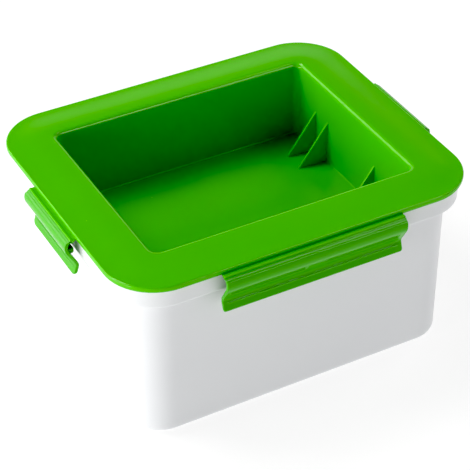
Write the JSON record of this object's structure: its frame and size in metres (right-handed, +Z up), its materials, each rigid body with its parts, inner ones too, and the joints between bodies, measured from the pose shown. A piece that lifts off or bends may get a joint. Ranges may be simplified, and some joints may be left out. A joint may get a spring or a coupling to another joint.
{
  "type": "tofu press",
  "caption": "Countertop tofu press: a rounded box whose lid carries a deep well that presses a block in a drainer basket, held by hinged snap latches.",
  "frame": {"origin": "centre of the underside of the tub's foot ring, at table height", "axes": "+X along the long side, to the right as seen from the front; the front latch faces -Y; +Z up"},
  "size_m": [0.1778, 0.1498, 0.085],
  "materials": {
    "tub_plastic": "fine satin moulding",
    "basket_plastic": "fine satin moulding",
    "lid_plastic": "satin gloss moulding",
    "seal_silicone": "soft matt silicone",
    "latch_plastic": "satin gloss moulding, slightly translucent"
  },
  "bodies": {
    "tub": {"outer_tub": "tub_plastic"},
    "basket": {"drain_basket": "basket_plastic"},
    "lid": {"press_lid": "lid_plastic", "lid_seal": "seal_silicone"},
    "front_latch": {"latch_front": "latch_plastic"},
    "rear_latch": {"latch_rear": "latch_plastic"},
    "left_latch": {"latch_left": "latch_plastic"},
    "right_latch": {"latch_right": "latch_plastic"}
  },
  "joints": [
    {"name": "basket_lift", "type": "slide", "parent": "tub", "child": "basket", "axis": [0, 0, 1], "range_m": [0, 0.09]},
    {"name": "lid_lift", "type": "slide", "parent": "basket", "child": "lid", "axis": [0, 0, 1], "range_m": [0, 0.06]},
    {"name": "front_latch_hinge", "type": "hinge", "parent": "lid", "child": "front_latch", "pos_m": [0, -0.0727, 0.0814], "axis": [-1, 0, 0], "range_deg": [0, 95]},
    {"name": "rear_latch_hinge", "type": "hinge", "parent": "lid", "child": "rear_latch", "pos_m": [0, 0.0727, 0.0814], "axis": [1, 0, 0], "range_deg": [0, 95]},
    {"name": "left_latch_hinge", "type": "hinge", "parent": "lid", "child": "left_latch", "pos_m": [-0.0867, 0, 0.0814], "axis": [0, 1, 0], "range_deg": [0, 95]},
    {"name": "right_latch_hinge", "type": "hinge", "parent": "lid", "child": "right_latch", "pos_m": [0.0867, 0, 0.0814], "axis": [0, -1, 0], "range_deg": [0, 95]}
  ]
}
